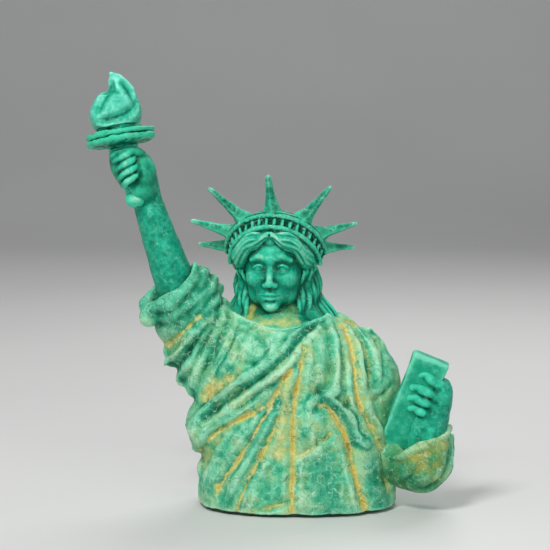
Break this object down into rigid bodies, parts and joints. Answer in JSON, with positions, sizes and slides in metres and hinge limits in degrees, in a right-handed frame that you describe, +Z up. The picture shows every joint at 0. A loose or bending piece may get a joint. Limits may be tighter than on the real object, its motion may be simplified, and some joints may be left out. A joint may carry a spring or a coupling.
{
  "type": "souvenir statue bust",
  "caption": "Verdigris-painted resin bust of a robed, crowned figure raising a torch and holding a tablet, with rays pegged into the crown.",
  "frame": {"origin": "middle of the footprint, on the surface that the bust stands on", "axes": "+Z up, -Y towards the front of the figure, +X towards the figure's left hand, which holds the tablet"},
  "size_m": [0.1655, 0.0644, 0.196],
  "materials": {
    "robe_paint": "painted cast resin: verdigris with pale dry-brushed ridges and ochre in the folds, crackled and satin",
    "skin_paint": "painted cast resin: smooth verdigris green, satin, dark in the creases",
    "tablet_paint": "painted cast resin: plain verdigris slab with pale edges",
    "crown_paint": "painted cast resin: green with pale tips and mouldings",
    "torch_paint": "painted cast resin: green with dark grooves and pale rims",
    "flame_paint": "painted cast resin: pale mint over green, slightly glossy",
    "felt": "dark green felt",
    "dowel_steel": "plain steel rod"
  },
  "bodies": {
    "root": {"felt_pad": "felt", "robe_body": "robe_paint", "left_sleeve": "robe_paint", "left_hand": "skin_paint", "tablet": "tablet_paint", "sleeve_dowel": "dowel_steel", "right_arm": "skin_paint", "arm_dowel": "dowel_steel", "torch_handle": "torch_paint", "torch_gallery": "torch_paint", "gallery_rail": "torch_paint", "torch_flame": "flame_paint", "head": "skin_paint", "neck_dowel": "dowel_steel", "diadem": "crown_paint", "crown_ray_1": "crown_paint", "crown_ray_2": "crown_paint", "crown_ray_3": "crown_paint", "crown_ray_4": "crown_paint", "crown_ray_5": "crown_paint", "crown_ray_6": "crown_paint", "crown_ray_7": "crown_paint"}
  },
  "joints": []
}
